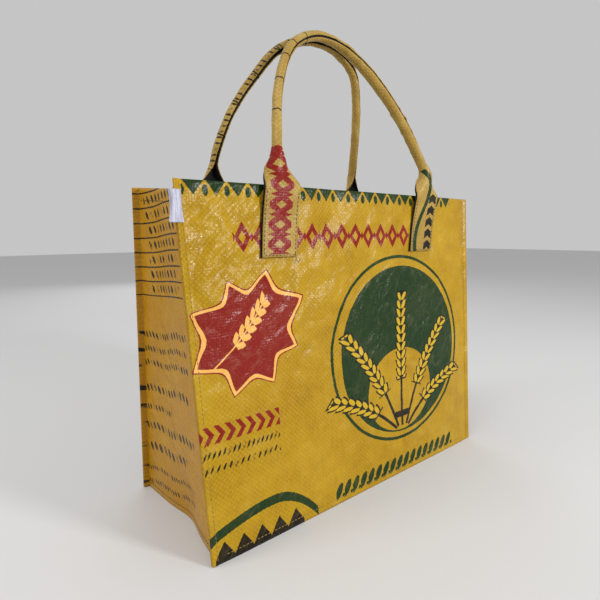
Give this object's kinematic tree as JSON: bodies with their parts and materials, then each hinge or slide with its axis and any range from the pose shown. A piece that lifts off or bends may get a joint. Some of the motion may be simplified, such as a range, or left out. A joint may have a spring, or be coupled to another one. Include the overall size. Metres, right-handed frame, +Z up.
{
  "type": "shopping bag",
  "caption": "Upright open shopping bag of printed rice sack cloth, with side gussets, a flat base and two rolled handles of webbing faced with the same cloth.",
  "frame": {"origin": "on the floor, under the middle of the base", "axes": "+Z up, the printed front faces -Y, +X to the right of the front as seen from outside"},
  "size_m": [0.4509, 0.1774, 0.5347],
  "materials": {
    "sack_cloth": "laminated woven sack cloth, satin, printed",
    "gusset_cloth": "the same cloth with a deeper ground colour",
    "black_webbing": "ribbed black webbing, matt",
    "label_tape": "white satin tape"
  },
  "bodies": {
    "root": {"panel_front": "sack_cloth", "panel_back": "sack_cloth", "gusset_left": "gusset_cloth", "gusset_right": "gusset_cloth", "base_panel": "sack_cloth", "handle_front_cloth": "sack_cloth", "handle_front_webbing": "black_webbing", "handle_back_cloth": "sack_cloth", "handle_back_webbing": "black_webbing", "side_label": "label_tape"}
  },
  "joints": []
}
